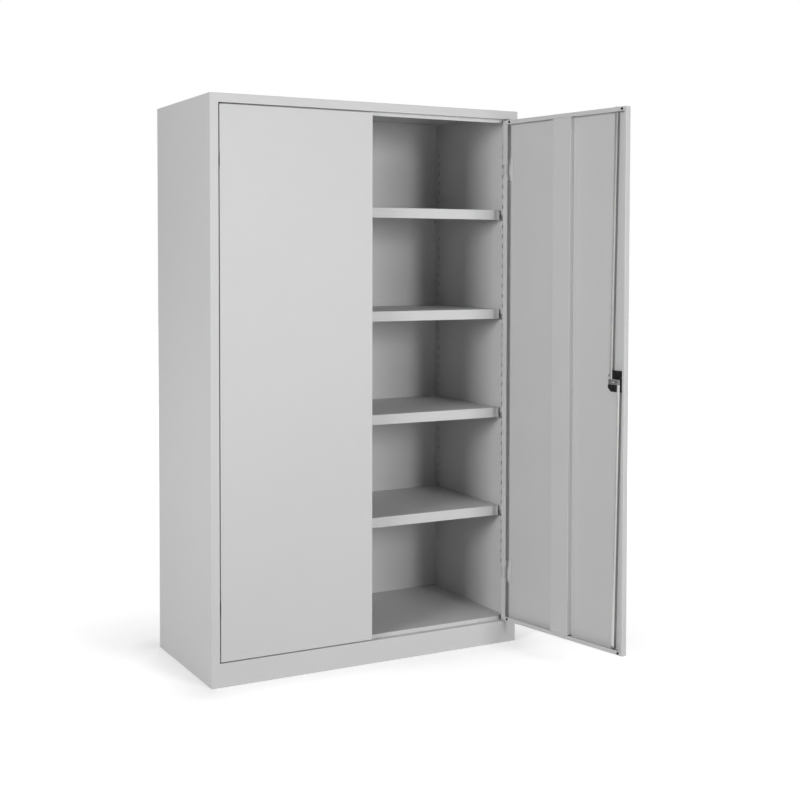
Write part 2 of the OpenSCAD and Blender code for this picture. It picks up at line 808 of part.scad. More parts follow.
// Two-armed cam with the pins that drive the rods
module lock_cam() {
    color(zinc) difference() {
        union() {
            translate([lock_x, cam_y + cam_t, lock_z]) rotate([90, 0, 0]) linear_extrude(cam_t)
                intersection() {
                    square([2 * cam_reach, cam_h], center = true);
                    circle(r = cam_reach, $fn = 64);
                }
            for (s = [-1, 1]) {
                rod_y_axis(lock_x + s * cam_r, lock_z, rod_y, cam_y, cam_pin_d);
                rod_y_axis(lock_x + s * cam_r, lock_z, cam_y + cam_t, cam_y + cam_t + 0.8, 5.5);
            }
        }
        rod_y_axis(lock_x, lock_z, cam_y - cut, cam_y + cam_t + cut, spindle_d - 3);
    }
}

module cam_nut() {
    color(chrome) difference() {
        translate([lock_x, cam_y + cam_t, lock_z]) rotate([-90, 0, 0])
            cylinder(h = 2.4, d = 10, $fn = 6);
        rod_y_axis(lock_x, lock_z, cam_y, cam_y + cam_t + 4, spindle_d - 3);
    }
}

// Key plug in the knob, with a keyway
module key_plug() {
    y0 = front - rosette_t - lock_clear - knob_h;
    y1 = y0 + knob_h * 0.55;
    color(chrome) difference() {
        rod_y_axis(lock_x, lock_z, y0 - 0.6, y1 - lock_clear, plug_d);
        translate([lock_x, y0, lock_z])
            cube([keyway_w, 2 * keyway_depth, plug_d * 0.55], center = true);
    }
}

// Yoke and bar of the rod that shoots upwards; the lower rod is its turned copy.
// The lower prong stops short of the spindle, so that the yoke can rise past it.
module rod(length, tilt) {
    inner = spindle_d / 2 + lock_clear + 0.6;
    outer = cam_pin_d / 2 + lock_clear + 0.6;
    top = yoke_open / 2 + yoke_prong;
    translate([0, rod_t, 0]) rotate([90, 0, 0]) linear_extrude(rod_t) {
        polygon([
            [inner, -top], [yoke_reach, -top], [yoke_reach, top], [-outer, top],
            [-outer, yoke_open / 2], [cam_r + cam_pin_d / 2 + lock_clear, yoke_open / 2],
            [cam_r + cam_pin_d / 2 + lock_clear, -yoke_open / 2], [inner, -yoke_open / 2]
        ]);
        polygon([
            [cam_r - rod_w / 2, top - 1], [cam_r + rod_w / 2, top - 1],
            [cam_r + rod_w / 2 - top * tan(tilt), top + 2],
            [cam_r + rod_w / 2 - length * tan(tilt), length],
            [cam_r - rod_w / 2 - length * tan(tilt), length],
            [cam_r - rod_w / 2 - top * tan(tilt), top + 2]
        ]);
    }
}

module rod_upper() {
    color(zinc) translate([lock_x, rod_y, lock_z]) rod(rod_up_end - lock_z, rod_tilt_up);
}

module rod_lower() {
    color(zinc) translate([lock_x, rod_y, lock_z]) rotate([0, 180, 0])
        rod(lock_z - rod_down_end, rod_tilt_down);
}

// ---------------------------------------------------------------- nodes

on_left() side();  // side_left
side();  // side_right
on_left() inner_wall();  // inner_wall_left
inner_wall();  // inner_wall_right
back_panel();
top_panel();
top_rail();
floor_panel();
floor_brace();
plinth_front();
shelf(1);  // shelf_1
shelf(2);  // shelf_2
shelf(3);  // shelf_3
shelf(4);  // shelf_4
shelf_clips();
on_left() hinge_arm(hinge_upper_z);  // hinge_arm_left_upper
on_left() hinge_arm(hinge_lower_z);  // hinge_arm_left_lower
hinge_arm(hinge_upper_z);  // hinge_arm_right_upper
hinge_arm(hinge_lower_z);  // hinge_arm_right_lower
door_pan_left();
on_left() stiffener();  // stiffener_left
on_left() buffers();  // buffers_left
strike_strip();
on_left() hinge_leaf(hinge_upper_z);  // hinge_leaf_left_upper
on_left() hinge_leaf(hinge_lower_z);  // hinge_leaf_left_lower
on_left() hinge_pins();  // hinge_pins_left
on_open_door() door_pan_right();
on_open_door() stiffener();  // stiffener_right
on_open_door() buffers();  // buffers_right
on_open_door() hinge_leaf(hinge_upper_z);  // hinge_leaf_right_upper
on_open_door() hinge_leaf(hinge_lower_z);  // hinge_leaf_right_lower
on_open_door() hinge_pins();  // hinge_pins_right
on_open_door() rod_guides();
on_open_door() lock_case();
on_open_door() lock_screws();
on_open_door() rosette();
on_open_door() turn_knob();
on_open_door() spindle();
on_open_door() lock_cam();
on_open_door() cam_nut();
on_open_door() key_plug();
on_open_door() rod_upper();
on_open_door() rod_lower();
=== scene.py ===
"""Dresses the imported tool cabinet: paint, zinc, rubber, moulded lock parts, studio and camera."""

import json
import logging
import math
from dataclasses import dataclass
from enum import Enum
from typing import Iterable

import bmesh
import bpy
from mathutils import Matrix, Vector

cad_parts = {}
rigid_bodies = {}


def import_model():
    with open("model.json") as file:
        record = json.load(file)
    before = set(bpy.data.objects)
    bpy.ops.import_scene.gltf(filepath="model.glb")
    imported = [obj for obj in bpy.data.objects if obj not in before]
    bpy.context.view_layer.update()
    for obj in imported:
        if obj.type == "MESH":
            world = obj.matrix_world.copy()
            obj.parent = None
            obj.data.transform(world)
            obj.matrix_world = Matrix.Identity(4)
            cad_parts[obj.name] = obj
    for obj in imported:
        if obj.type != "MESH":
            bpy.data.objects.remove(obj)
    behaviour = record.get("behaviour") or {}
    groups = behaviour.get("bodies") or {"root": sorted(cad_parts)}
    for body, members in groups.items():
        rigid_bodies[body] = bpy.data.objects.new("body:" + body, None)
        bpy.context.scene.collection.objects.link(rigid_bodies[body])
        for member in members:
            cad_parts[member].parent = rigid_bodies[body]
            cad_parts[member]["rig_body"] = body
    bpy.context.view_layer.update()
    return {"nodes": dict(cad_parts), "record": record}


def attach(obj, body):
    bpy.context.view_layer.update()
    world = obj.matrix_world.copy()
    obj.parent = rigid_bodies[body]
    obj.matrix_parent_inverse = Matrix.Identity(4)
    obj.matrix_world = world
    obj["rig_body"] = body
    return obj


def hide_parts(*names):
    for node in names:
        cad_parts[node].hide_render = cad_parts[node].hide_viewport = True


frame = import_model()
MM = 0.001
Colour = tuple[float, float, float]
Stops = tuple[tuple[float, float], ...]
WHITE = (1.0, 1.0, 1.0, 1.0)
# Sockets of a Mix node that is set to colours
MIX_FIRST, MIX_SECOND, MIX_RESULT = 6, 7, 2
# Least angle of an edge that is rolled and stays crisp in the shading
CRISP_ANGLE = math.radians(28)
# The same where only the rim of a turned piece is meant, not its sides
RIM_ANGLE = math.radians(60)
# CAD corners closer than this are one corner, and facets flatter than this are one face
MERGE_DISTANCE = 0.002 * MM
FLAT_ANGLE = math.radians(0.5)
log = logging.getLogger("cabinet")


# ------------------------------------------------------------------ shader maths


@dataclass(frozen=True)
class Signal:
    """A number, colour or vector on its way through a finish's nodes."""

    maker: "FinishMaker"
    socket: bpy.types.NodeSocket

    def _math(self, operation: str, first: "Signal | float", second: "Signal | float") -> "Signal":
        """Adds one Math node.

        Args:
            operation: the Math node's operation.
            first: its first value.
            second: its second value.

        Returns:
            The node's result.
        """
        return self.maker.node("ShaderNodeMath", {"operation": operation}, {0: first, 1: second})

    def __add__(self, other: "Signal | float") -> "Signal":
        """This value plus another."""
        return self._math("ADD", self, other)

    def __sub__(self, other: "Signal | float") -> "Signal":
        """This value minus another."""
        return self._math("SUBTRACT", self, other)

    def __rsub__(self, other: float) -> "Signal":
        """A number minus this value."""
        return self._math("SUBTRACT", other, self)

    def __mul__(self, other: "Signal | float") -> "Signal":
        """This value times another."""
        return self._math("MULTIPLY", self, other)

    def __pow__(self, power: float) -> "Signal":
        """This value raised to a power."""
        return self._math("POWER", self, power)


class FinishMaker:
    """Builds the nodes of one procedural finish on Object coordinates."""

    def __init__(self, name: str) -> None:
        """Starts an empty finish.

        Args:
            name: the material's name.
        """
        self.material = bpy.data.materials.new(name)
        self.material.use_nodes = True
        self.tree = self.material.node_tree
        self.tree.nodes.clear()
        self.place = self.node("ShaderNodeTexCoord", output="Object")

    def node(
        self,
        kind: str,
        settings: dict[str, object] | None = None,
        values: dict[int | str, object] | None = None,
        output: int | str = 0,
    ) -> Signal:
        """Adds a node, sets its settings first and then its sockets.

        Args:
            kind: the node's type.
            settings: its own settings; stops, if given, fill its ramp with greys.
            values: a value or a Signal for each named or numbered socket.
            output: the socket that the result leaves by.

        Returns:
            The chosen output.
        """
        made = self.tree.nodes.new(kind)
        for setting, value in (settings or {}).items():
            if setting == "stops":
                self._fill_ramp(made.color_ramp, value)
            else:
                setattr(made, setting, value)
        for socket, value in (values or {}).items():
            if isinstance(value, Signal):
                self.tree.links.new(value.socket, made.inputs[socket])
            else:
                made.inputs[socket].default_value = value
        return Signal(self, made.outputs[output])

    @staticmethod
    def _fill_ramp(ramp: bpy.types.ColorRamp, stops: Iterable[tuple[float, float]]) -> None:
        """Sets a ramp's stops to greys.

        Args:
            ramp: the ramp to fill.
            stops: pairs of position and grey value.
        """
        stops = list(stops)
        while len(ramp.elements) < len(stops):
            ramp.elements.new(1.0)
        for element, (position, grey) in zip(ramp.elements, stops):
            element.position = position
            element.color = (grey, grey, grey, 1.0)

    def noise(self, per_metre: float, detail: float = 2.0, where: Signal | None = None) -> Signal:
        """Smooth noise over the piece.

        Args:
            per_metre: features in a metre.
            detail: octaves of finer noise.
            where: coordinates other than the piece's own.

        Returns:
            The noise, about 0.5 on average.
        """
        values = {"Vector": where or self.place, "Scale": per_metre, "Detail": detail}
        return self.node("ShaderNodeTexNoise", {}, values)

    def stretched(self, factors: tuple[float, float, float]) -> Signal:
        """The piece's coordinates, scaled by a factor along each axis."""
        return self.node("ShaderNodeMapping", {}, {"Vector": self.place, "Scale": factors})

    def ramp(self, value: Signal, stops: Iterable[tuple[float, float]]) -> Signal:
        """Passes a value through a ramp of greys.

        Args:
            value: the value to map.
            stops: pairs of position and grey value.

        Returns:
            The mapped value.
        """
        return self.node("ShaderNodeValToRGB", {"stops": stops}, {"Fac": value})

    def mix(self, amount: Signal, first: Colour, second: Colour) -> Signal:
        """Mixes two colours.

        Args:
            amount: 0 for the first colour, 1 for the second.
            first: red, green and blue.
            second: red, green and blue.

        Returns:
            The mixed colour.
        """
        values = {0: amount, MIX_FIRST: (*first, 1.0), MIX_SECOND: (*second, 1.0)}
        return self.node("ShaderNodeMix", {"data_type": "RGBA"}, values, output=MIX_RESULT)

    def bump(self, height: Signal, depth: float, under: Signal | None = None) -> Signal:
        """Turns a height into a normal.

        Args:
            height: the height, from 0 to 1.
            depth: metres between a height of 0 and of 1.
            under: a coarser normal that this one lies on.

        Returns:
            The bumped normal.
        """
        values: dict[int | str, object] = {"Height": height, "Distance": depth, "Strength": 1.0}
        if under is not None:
            values["Normal"] = under
        return self.node("ShaderNodeBump", {}, values)

    def finish(self, **sockets: object) -> bpy.types.Material:
        """Ends the finish with its shader.

        Args:
            sockets: a value or a Signal for each shader socket, with _ for a space.

        Returns:
            The finished material.
        """
        values = {name.replace("_", " "): value for name, value in sockets.items()}
        shader = self.node("ShaderNodeBsdfPrincipled", {}, values)
        output = self.tree.nodes.new("ShaderNodeOutputMaterial")
        self.tree.links.new(shader.socket, output.inputs["Surface"])
        return self.material


# ------------------------------------------------------------------ finishes


@dataclass(frozen=True)
class PowderCoat:
    """Light grey powder coat on folded steel: orange peel, a slight drift of shade, soft sheen."""

    name: str = "powder_coat_light_grey"
    shade: Colour = (0.600, 0.604, 0.602)
    light: Colour = (0.645, 0.648, 0.646)
    drift_per_metre: float = 1.7
    drift_share: float = 0.65
    grain_per_metre: float = 1500.0
    grain_share: float = 0.35
    gloss_per_metre: float = 60.0
    smoothest: float = 0.40
    roughness_span: float = 0.16
    peel_per_metre: float = 420.0
    peel_depth: float = 0.05 * MM
    wave_per_metre: float = 2.2
    wave_depth: float = 0.7 * MM
    specular: float = 0.4

    def material(self) -> bpy.types.Material:
        """Builds the coat's material."""
        maker = FinishMaker(self.name)
        drift = maker.noise(self.drift_per_metre, detail=3.0)
        grain = maker.noise(self.grain_per_metre, detail=1.0)
        sheet = maker.bump(maker.noise(self.wave_per_metre, detail=1.0), self.wave_depth)
        shading = drift * self.drift_share + grain * self.grain_share
        return maker.finish(
            Base_Color=maker.mix(shading, self.shade, self.light),
            Roughness=maker.noise(self.gloss_per_metre, detail=3.0) * self.roughness_span
            + self.smoothest,
            Normal=maker.bump(maker.noise(self.peel_per_metre), self.peel_depth, sheet),
            Specular_IOR_Level=self.specular,
        )


@dataclass(frozen=True)
class ZincPlate:
    """Bright zinc plate: cool metal with a faint cloudy passivation and fine drawn lines."""

    name: str = "zinc_plate"
    cool: Colour = (0.60, 0.61, 0.63)
    warm: Colour = (0.66, 0.65, 0.62)
    smoothest: float = 0.36
    roughness_span: float = 0.22
    clouds_per_metre: float = 45.0
    cloud_stops: Stops = ((0.35, 0.0), (0.65, 1.0))
    lines_per_metre: float = 2400.0
    line_stretch: tuple[float, float, float] = (1.0, 1.0, 0.04)
    line_depth: float = 0.015 * MM

    def material(self) -> bpy.types.Material:
        """Builds the plate's material."""
        maker = FinishMaker(self.name)
        cloud = maker.ramp(maker.noise(self.clouds_per_metre, detail=3.0), self.cloud_stops)
        drawn = maker.stretched(self.line_stretch)
        lines = maker.noise(self.lines_per_metre, where=drawn)
        return maker.finish(
            Base_Color=maker.mix(cloud, self.cool, self.warm),
            Metallic=1.0,
            Roughness=lines * self.roughness_span + self.smoothest,
            Normal=maker.bump(lines, self.line_depth),
        )


@dataclass(frozen=True)
class BlackMoulding:
    """Matt black moulded plastic with a fine spark-eroded grain."""

    name: str = "black_moulding"
    dark: Colour = (0.004, 0.004, 0.0045)
    worn: Colour = (0.013, 0.013, 0.014)
    grain_per_metre: float = 1600.0
    grain_depth: float = 0.03 * MM
    handling_per_metre: float = 35.0
    handling_stops: Stops = ((0.4, 0.0), (0.7, 1.0))
    roughest: float = 0.58
    roughness_span: float = 0.14
    specular: float = 0.25

    def material(self) -> bpy.types.Material:
        """Builds the moulding's material."""
        maker = FinishMaker(self.name)
        grain = maker.noise(self.grain_per_metre)
        touched = maker.noise(self.handling_per_metre, detail=3.0)
        handled = maker.ramp(touched, self.handling_stops)
        return maker.finish(
            Base_Color=maker.mix(handled, self.dark, self.worn),
            Roughness=self.roughest - handled * self.roughness_span,
            Normal=maker.bump(grain, self.grain_depth),
            Specular_IOR_Level=self.specular,
        )


@dataclass(frozen=True)
class BufferRubber:
    """Soft black rubber, dusty and almost without gloss."""

    name: str = "buffer_rubber"
    dark: Colour = (0.010, 0.010, 0.010)
    dusty: Colour = (0.040, 0.039, 0.037)
    dust_per_metre: float = 260.0
    smoothest: float = 0.72
    roughness_span: float = 0.15
    skin_per_metre: float = 900.0
    skin_depth: float = 0.04 * MM
    specular: float = 0.3

    def material(self) -> bpy.types.Material:
        """Builds the rubber's material."""
        maker = FinishMaker(self.name)
        dust = maker.noise(self.dust_per_metre, detail=4.0)
        return maker.finish(
            Base_Color=maker.mix(dust, self.dark, self.dusty),
            Roughness=dust * self.roughness_span + self.smoothest,
            Normal=maker.bump(maker.noise(self.skin_per_metre), self.skin_depth),
            Specular_IOR_Level=self.specular,
        )


@dataclass(frozen=True)
class BlackedSteel:
    """Blackened steel screws: dark oxide with a dull gleam and bare metal just showing."""

    name: str = "blacked_steel"
    oxide: Colour = (0.022, 0.023, 0.026)
    bare: Colour = (0.12, 0.12, 0.125)
    wear_per_metre: float = 900.0
    wear_stops: Stops = ((0.55, 0.0), (0.75, 1.0))
    metallic: float = 0.6
    roughest: float = 0.5
    roughness_span: float = 0.12
    skin_per_metre: float = 1400.0
    skin_depth: float = 0.01 * MM

    def material(self) -> bpy.types.Material:
        """Builds the oxide's material."""
        maker = FinishMaker(self.name)
        rubbed = maker.ramp(maker.noise(self.wear_per_metre, detail=3.0), self.wear_stops)
        return maker.finish(
            Base_Color=maker.mix(rubbed, self.oxide, self.bare),
            Metallic=self.metallic,
            Roughness=self.roughest - rubbed * self.roughness_span,
            Normal=maker.bump(maker.noise(self.skin_per_metre), self.skin_depth),
        )


@dataclass(frozen=True)
class ChromePlate:
    """Polished chrome with faint wiping marks."""

    name: str = "chrome_plate"
    clean: Colour = (0.78, 0.78, 0.79)
    dull: Colour = (0.66, 0.67, 0.69)
    marks_per_metre: float = 700.0
    mark_stretch: tuple[float, float, float] = (1.0, 1.0, 0.15)
    mark_depth: float = 0.004 * MM
    smoothest: float = 0.06
    roughness_span: float = 0.14

    def material(self) -> bpy.types.Material:
        """Builds the chrome's material."""
        maker = FinishMaker(self.name)
        wiped = maker.stretched(self.mark_stretch)
        marks = maker.noise(self.marks_per_metre, detail=3.0, where=wiped)
        return maker.finish(
            Base_Color=maker.mix(marks, self.clean, self.dull),
            Metallic=1.0,
            Roughness=marks * self.roughness_span + self.smoothest,
            Normal=maker.bump(marks, self.mark_depth),
        )


# A darker copy of the zinc for the cam and its nut: painted shade, standing in for darker
# reflections on the bright plate.
SHADED_ZINC_PLATE = ZincPlate(
    name="zinc_plate_painted_shade", cool=(0.20, 0.21, 0.22), warm=(0.30, 0.30, 0.29), smoothest=0.34
)


class Finish(Enum):
    """The finishes of the cabinet, each with the record's material slot that it belongs to."""

    PAINT = ("paint", PowderCoat())
    ZINC = ("zinc", ZincPlate())
    # The darker zinc copy: painted shade standing in for darker reflections.
    SHADED_ZINC = ("zinc", SHADED_ZINC_PLATE)
    RUBBER = ("rubber", BufferRubber())
    MOULDING = ("black_plastic", BlackMoulding())
    BLACKED = ("black_steel", BlackedSteel())
    CHROME = ("chrome", ChromePlate())

    @property
    def slot(self) -> str:
        """The record's name for the finish."""
        return self.value[0]

    @property
    def material(self) -> bpy.types.Material:
        """The finish's material, built on first use."""
        recipe = self.value[1]
        return bpy.data.materials.get(recipe.name) or recipe.material()


def dress_cad_nodes() -> None:
    """Gives every CAD node the finish of its slot in the record."""
    by_slot = {finish.slot: finish for finish in reversed(Finish)}
    for part in frame["record"]["subparts"]:
        mesh = frame["nodes"][part["node"]].data
        mesh.materials.clear()
        mesh.materials.append(by_slot[part["material_slot"]].material)
    log.info("dressed %d CAD nodes", len(frame["nodes"]))


# ------------------------------------------------------------------ small moulded and turned pieces


def deselect_all() -> None:
    """Leaves object mode with nothing selected."""
    if bpy.context.object and bpy.context.object.mode != "OBJECT":
        bpy.ops.object.mode_set(mode="OBJECT")
    bpy.ops.object.select_all(action="DESELECT")


def pick(piece: bpy.types.Object) -> None:
    """Leaves only one piece selected, and makes it the active one."""
    deselect_all()
    piece.select_set(True)
    bpy.context.view_layer.objects.active = piece


def select_faces(towards: Vector, within: float = math.radians(20)) -> None:
    """Selects, in edit mode, only the faces that look one way.

    Args:
        towards: the direction that they face.
        within: the most that a normal may lean away from it.
    """
    bpy.ops.mesh.select_mode(type="FACE")
    bpy.ops.mesh.select_all(action="DESELECT")
    mesh = bmesh.from_edit_mesh(bpy.context.object.data)
    for face in mesh.faces:
        face.select = face.normal.angle(towards, math.pi) < within
    bmesh.update_edit_mesh(bpy.context.object.data)


def bevelled(
    piece: bpy.types.Object, radius: float, segments: int, sharp: float = CRISP_ANGLE
) -> None:
    """Rolls a piece's sharp edges to a radius and shades it smooth between them.

    Args:
        piece: the active piece.
        radius: the radius of its edges.
        segments: steps in a rolled edge.
        sharp: the least angle of an edge that is rolled.
    """
    bevel = piece.modifiers.new("rolled_edges", "BEVEL")
    bevel.width, bevel.segments = radius, segments
    bevel.limit_method, bevel.angle_limit = "ANGLE", sharp
    bpy.ops.object.modifier_apply(modifier=bevel.name)
    bpy.ops.object.shade_smooth_by_angle(angle=sharp)


def turned_disc(
    name: str, middle: Vector, radius: float, height: float, sides: int = 32
) -> bpy.types.Object:
    """Starts a turned piece that looks towards the cabinet's back, as on the shut door's inside.

    Args:
        name: the piece's name.
        middle: the middle of the face that it sits on.
        radius: its radius.
        height: its height above that face.
        sides: its number of sides.

    Returns:
        The disc, selected and active, with its place in its mesh.
    """
    deselect_all()
    place = middle + Vector((0.0, height / 2, 0.0))
    turn = (-math.pi / 2, 0.0, 0.0)
    bpy.ops.mesh.primitive_cylinder_add(
        vertices=sides, radius=radius, depth=height, location=place, rotation=turn
    )
    disc = bpy.context.object
    disc.name = name
    bpy.ops.object.transform_apply(location=True, rotation=True, scale=True)
    return disc


def carve(piece: bpy.types.Object, tool: bpy.types.Object, operation: str) -> None:
    """Cuts a piece with a tool, which is then thrown away.

    Args:
        piece: the piece to cut.
        tool: the cutting body.
        operation: DIFFERENCE or INTERSECT.
    """
    cutter = piece.modifiers.new("carved", "BOOLEAN")
    cutter.object, cutter.operation, cutter.solver = tool, operation, "EXACT"
    pick(piece)
    bpy.ops.object.modifier_apply(modifier=cutter.name)
    bpy.data.objects.remove(tool)


def copied(piece: bpy.types.Object, shift: Vector) -> bpy.types.Object:
    """Copies a piece with its own mesh and moves the copy in its mesh.

    Args:
        piece: the piece to copy.
        shift: how far the copy goes.

    Returns:
        The copy.
    """
    twin = bpy.data.objects.new(piece.name, piece.data.copy())
    bpy.context.scene.collection.objects.link(twin)
    twin.data.transform(Matrix.Translation(shift))
    return twin


def joined(pieces: list[bpy.types.Object], name: str) -> bpy.types.Object:
    """Joins pieces into one.

    Args:
        pieces: the pieces; the first keeps its place.
        name: the name of the whole.

    Returns:
        The joined piece.
    """
    deselect_all()
    for piece in pieces:
        piece.select_set(True)
    bpy.context.view_layer.objects.active = pieces[0]
    bpy.ops.object.join()
    pieces[0].name = name
    return pieces[0]


def stand_for(piece: bpy.types.Object, node: str, finish: Finish) -> None:
    """Gives a piece its finish and the body of the CAD node that it stands for, and hides that
    node.

    Args:
        piece: the finished piece.
        node: the CAD node.
        finish: its finish.
    """
    piece.data.materials.clear()
    piece.data.materials.append(finish.material)
    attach(piece, frame["nodes"][node]["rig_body"])
    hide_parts(node)
    log.info("modelled %s for %s", piece.name, node)


@dataclass
class SoftenedPart:
    """A hard-edged CAD node remade: its sharp edges are rolled to small radii."""

    node: str
    name: str
    finish: Finish
    radius: float
    segments: int = 3

    def build(self) -> None:
        """Copies the node, cleans its facets, rolls its edges and puts it in the node's place."""
        source = frame["nodes"][self.node]
        piece = bpy.data.objects.new(self.name, source.data.copy())
        bpy.context.scene.collection.objects.link(piece)
        pick(piece)
        self._clean()
        bevelled(piece, self.radius, self.segments)
        stand_for(piece, self.node, self.finish)

    def _clean(self) -> None:
        """Merges the node's loose triangles into whole faces, in edit mode."""
        bpy.ops.object.mode_set(mode="EDIT")
        bpy.ops.mesh.select_mode(type="VERT")
        bpy.ops.mesh.select_all(action="SELECT")
        bpy.ops.mesh.remove_doubles(threshold=MERGE_DISTANCE)
        bpy.ops.mesh.dissolve_limited(angle_limit=FLAT_ANGLE)
        bpy.ops.object.mode_set(mode="OBJECT")


@dataclass
class OpenDoor:
    """Where the right door stands: pieces are modelled on the shut door and swung out with it."""

    axis: Vector = Vector((0.560, -0.255, 0.0))
    opening: float = math.radians(101)

    def swing(self, piece: bpy.types.Object) -> None:
        """Swings a piece from the shut door to the open one and puts its place in its mesh."""
        pick(piece)
        turn = Matrix.Rotation(self.opening, 4, "Z")
        piece.matrix_world = Matrix.Translation(self.axis) @ turn @ Matrix.Translation(-self.axis)
        bpy.ops.object.transform_apply(location=True, rotation=True, scale=True)


@dataclass
class Buffers:
    """Rubber buffers at the inner corners of both doors: a rolled rim round a shallow cup."""

    door: OpenDoor
    radius: float = 4.5 * MM
    height: float = 1.6 * MM
    rim: float = 1.5 * MM
    cup: float = 0.5 * MM
    cup_taper: float = 0.7
    edge_radius: float = 0.35 * MM
    lip_depth: float = -0.238
    columns: tuple[float, float] = (0.0195, 0.535)
    rows: tuple[float, float] = (0.0915, 1.9075)

    def build(self) -> None:
        """Models one buffer, copies it to the corners of each door and joins each door's four."""
        for side, node in ((-1.0, "buffers_left"), (1.0, "buffers_right")):
            first = self._one(side * self.columns[0])
            shifts = [
                Vector((side * (column - self.columns[0]), 0.0, row - self.rows[0]))
                for column in self.columns
                for row in self.rows
            ]
            others = [copied(first, shift) for shift in shifts[1:]]
            whole = joined([first, *others], f"rubber_{node}")
            if side > 0:
                self.door.swing(whole)
            stand_for(whole, node, Finish.RUBBER)

    def _one(self, across: float) -> bpy.types.Object:
        """Models the lower buffer of a door's closing side.

        Args:
            across: its place across the door.

        Returns:
            The buffer.
        """
        middle = Vector((across, self.lip_depth, self.rows[0]))
        buffer = turned_disc("buffer", middle, self.radius, self.height)
        bpy.ops.object.mode_set(mode="EDIT")
        select_faces(Vector((0.0, 1.0, 0.0)))
        bpy.ops.mesh.inset(thickness=self.rim)
        bpy.ops.mesh.extrude_region_move(TRANSFORM_OT_translate={"value": (0.0, -self.cup, 0.0)})
        narrowed = (self.cup_taper, 1.0, self.cup_taper)
        bpy.ops.transform.resize(value=narrowed, center_override=middle)
        bpy.ops.object.mode_set(mode="OBJECT")
        bevelled(buffer, self.edge_radius, 3)
        return buffer


@dataclass
class HousingScrews:
    """Two blackened pan-head screws with cross recesses, which hold the lock's case."""

    door: OpenDoor
    across: float = 0.0175
    face: float = -0.2461
    heights: tuple[float, float] = (0.984, 1.016)
    radius: float = 3.0 * MM
    head: float = 1.5 * MM
    dome_radius: float = 0.8 * MM
    slot_length: float = 3.4 * MM
    slot_width: float = 0.7 * MM
    slot_depth: float = 0.8 * MM

    def build(self) -> None:
        """Models one screw, copies it for the other and swings both onto the open door."""
        middle = Vector((self.across, self.face, self.heights[0]))
        screw = turned_disc("screw", middle, self.radius, self.head)
        bevelled(screw, self.dome_radius, 4, RIM_ANGLE)
        for long_way in (0, 2):
            carve(screw, self._slot(middle, long_way), "DIFFERENCE")
        bpy.ops.object.shade_smooth_by_angle(angle=CRISP_ANGLE)
        twin = copied(screw, Vector((0.0, 0.0, self.heights[1] - self.heights[0])))
        pair = joined([screw, twin], "housing_screws")
        self.door.swing(pair)
        stand_for(pair, "lock_screws", Finish.BLACKED)

    def _slot(self, middle: Vector, long_way: int) -> bpy.types.Object:
        """Makes the body that cuts one slot of the cross.

        Args:
            middle: the middle of the screw's seat.
            long_way: the axis that the slot runs along, 0 for X and 2 for Z.

        Returns:
            The cutting body.
        """
        deselect_all()
        size = [self.slot_width, 2 * self.slot_depth, self.slot_width]
        size[long_way] = self.slot_length
        place = middle + Vector((0.0, self.head, 0.0))
        bpy.ops.mesh.primitive_cube_add(size=1.0, location=place)
        bpy.ops.transform.resize(value=size, center_override=place)
        bpy.ops.object.transform_apply(location=True, rotation=True, scale=True)
        return bpy.context.object


@dataclass
class SpindleNut:
    """Hexagon nut on the cam, with its corners turned off and a bore for the spindle's end."""

    door: OpenDoor
    middle: Vector = Vector((0.0495, -0.2437, 1.0))
    corners: float = 5.0 * MM
    height: float = 2.4 * MM
    bore: float = 2.5 * MM
    flats: int = 6
    blank_sides: int = 48
    chamfer: float = 0.55 * MM
    edge_radius: float = 0.1 * MM
    edge_angle: float = math.radians(20)

    def build(self) -> None:
        """Models the nut and swings it onto the open door."""
        size = (self.middle, self.corners, self.height)
        nut = turned_disc("spindle_nut", *size, self.flats)
        blank = turned_disc("turned_blank", *size, self.blank_sides)
        bevelled(blank, self.chamfer, 1, RIM_ANGLE)
        carve(nut, blank, "INTERSECT")
        under = self.middle - Vector((0.0, self.height, 0.0))
        carve(nut, turned_disc("drill", under, self.bore, 3 * self.height), "DIFFERENCE")
        bevelled(nut, self.edge_radius, 2, self.edge_angle)
        self.door.swing(nut)
        # The nut takes the darker zinc copy: painted shade, not a different metal.
        stand_for(nut, "cam_nut", Finish.SHADED_ZINC)


@dataclass
class RodLock:
    """The lock of the right door: knob, rosette and plug outside, case, cam and rods inside."""

    door: OpenDoor
    grip_radius: float = 2.2 * MM
    mould_radius: float = 0.6 * MM
    plate_radius: float = 0.25 * MM

    def build(self) -> None:
        """Builds the lock's pieces over their CAD nodes."""
        SoftenedPart("turn_knob", "knob_grip", Finish.MOULDING, self.grip_radius, 4).build()
        SoftenedPart("rosette", "rosette_plate", Finish.MOULDING, self.mould_radius).build()
        SoftenedPart("lock_case", "lock_housing", Finish.MOULDING, self.mould_radius, 2).build()
        SoftenedPart("key_plug", "key_cylinder", Finish.CHROME, self.plate_radius).build()
        # The cam takes the darker zinc copy: painted shade, not a different metal.
        SoftenedPart("lock_cam", "cam_plate", Finish.SHADED_ZINC, self.plate_radius, 2).build()
        SoftenedPart("rod_guides", "guide_straps", Finish.ZINC, self.plate_radius, 2).build()
        for rod in ("rod_upper", "rod_lower"):
            SoftenedPart(rod, f"flat_{rod}", Finish.ZINC, self.plate_radius, 2).build()
        SpindleNut(self.door).build()
        HousingScrews(self.door).build()


